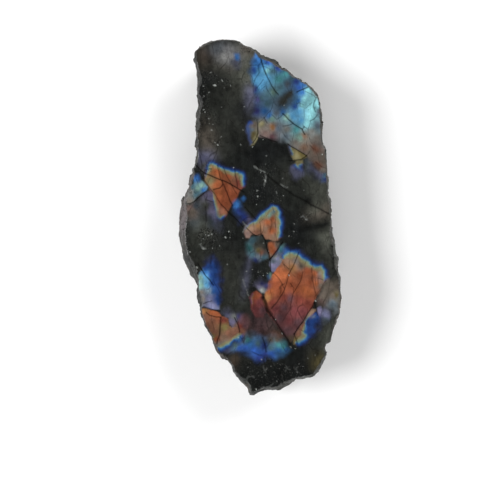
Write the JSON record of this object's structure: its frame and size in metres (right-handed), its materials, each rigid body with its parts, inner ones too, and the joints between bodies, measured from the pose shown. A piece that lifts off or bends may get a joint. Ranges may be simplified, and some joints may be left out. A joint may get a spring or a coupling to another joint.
{
  "type": "rough labradorite chunk",
  "caption": "Rough slab-like chunk of dark labradorite with one polished face that flashes blue, cyan and orange, lying on its broken back.",
  "frame": {"origin": "on the surface the chunk lies on, under the middle of its bounding box", "axes": "+Z out of the polished face, +Y along the chunk's length towards the broad end, +X across it"},
  "size_m": [0.041, 0.0896, 0.016],
  "materials": {
    "labradorite": "polished on the top face with blue, cyan and orange flash, rough and matte on the broken sides and back"
  },
  "bodies": {
    "root": {"labradorite_chunk": "labradorite"}
  },
  "joints": []
}
